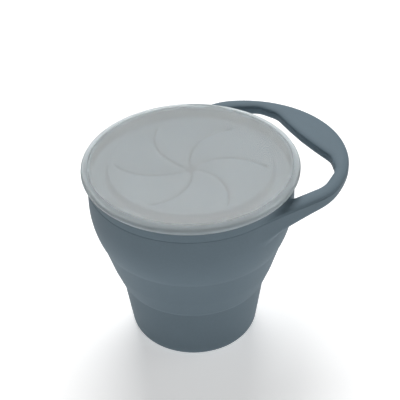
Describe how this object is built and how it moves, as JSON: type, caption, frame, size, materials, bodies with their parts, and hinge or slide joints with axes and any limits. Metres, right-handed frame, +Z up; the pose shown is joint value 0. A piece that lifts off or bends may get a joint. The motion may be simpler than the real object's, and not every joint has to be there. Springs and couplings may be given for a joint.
{
  "type": "collapsible snack cup",
  "caption": "Collapsible silicone snack cup with a carry loop, a petal guard in its mouth and a frosted press-on dust lid.",
  "frame": {"origin": "centre of the flat underside of the base", "axes": "+Z up through the mouth, +X from the cup's axis along the carry loop"},
  "size_m": [0.1279, 0.1, 0.0944],
  "materials": {
    "cup_silicone": "matte moulded silicone",
    "guard_silicone": "matte moulded silicone",
    "lid_silicone": "frosted translucent silicone"
  },
  "bodies": {
    "base": {"lower_cup": "cup_silicone", "fold_wall": "cup_silicone"},
    "upper": {"upper_wall": "cup_silicone", "handle_loop": "cup_silicone", "guard_ring": "guard_silicone"},
    "lid": {"dust_lid": "lid_silicone"},
    "petal_1": {"petal_1": "guard_silicone"},
    "petal_2": {"petal_2": "guard_silicone"},
    "petal_3": {"petal_3": "guard_silicone"},
    "petal_4": {"petal_4": "guard_silicone"},
    "petal_5": {"petal_5": "guard_silicone"},
    "petal_6": {"petal_6": "guard_silicone"}
  },
  "joints": [
    {"name": "collapse", "type": "slide", "parent": "base", "child": "upper", "axis": [0, 0, 1], "range_m": [-0.0492, 0], "deforming": ["fold_wall"]},
    {"name": "lid_lift", "type": "slide", "parent": "upper", "child": "lid", "axis": [0, 0, 1], "range_m": [0, 0.06]},
    {"name": "petal_1_hinge", "type": "hinge", "parent": "upper", "child": "petal_1", "pos_m": [0.0187, 0.02482, 0.092], "axis": [0.7986, -0.6018, 0], "range_deg": [0, 50], "stiffness_Nm_per_rad": 0.01},
    {"name": "petal_2_hinge", "type": "hinge", "parent": "upper", "child": "petal_2", "pos_m": [-0.01214, 0.02861, 0.092], "axis": [0.9205, 0.3907, 0], "range_deg": [0, 50], "stiffness_Nm_per_rad": 0.01},
    {"name": "petal_3_hinge", "type": "hinge", "parent": "upper", "child": "petal_3", "pos_m": [-0.03085, 0.00379, 0.092], "axis": [0.1219, 0.9925, 0], "range_deg": [0, 50], "stiffness_Nm_per_rad": 0.01},
    {"name": "petal_4_hinge", "type": "hinge", "parent": "upper", "child": "petal_4", "pos_m": [-0.0187, -0.02482, 0.092], "axis": [-0.7986, 0.6018, 0], "range_deg": [0, 50], "stiffness_Nm_per_rad": 0.01},
    {"name": "petal_5_hinge", "type": "hinge", "parent": "upper", "child": "petal_5", "pos_m": [0.01214, -0.02861, 0.092], "axis": [-0.9205, -0.3907, 0], "range_deg": [0, 50], "stiffness_Nm_per_rad": 0.01},
    {"name": "petal_6_hinge", "type": "hinge", "parent": "upper", "child": "petal_6", "pos_m": [0.03085, -0.00379, 0.092], "axis": [-0.1219, -0.9925, 0], "range_deg": [0, 50], "stiffness_Nm_per_rad": 0.01}
  ]
}
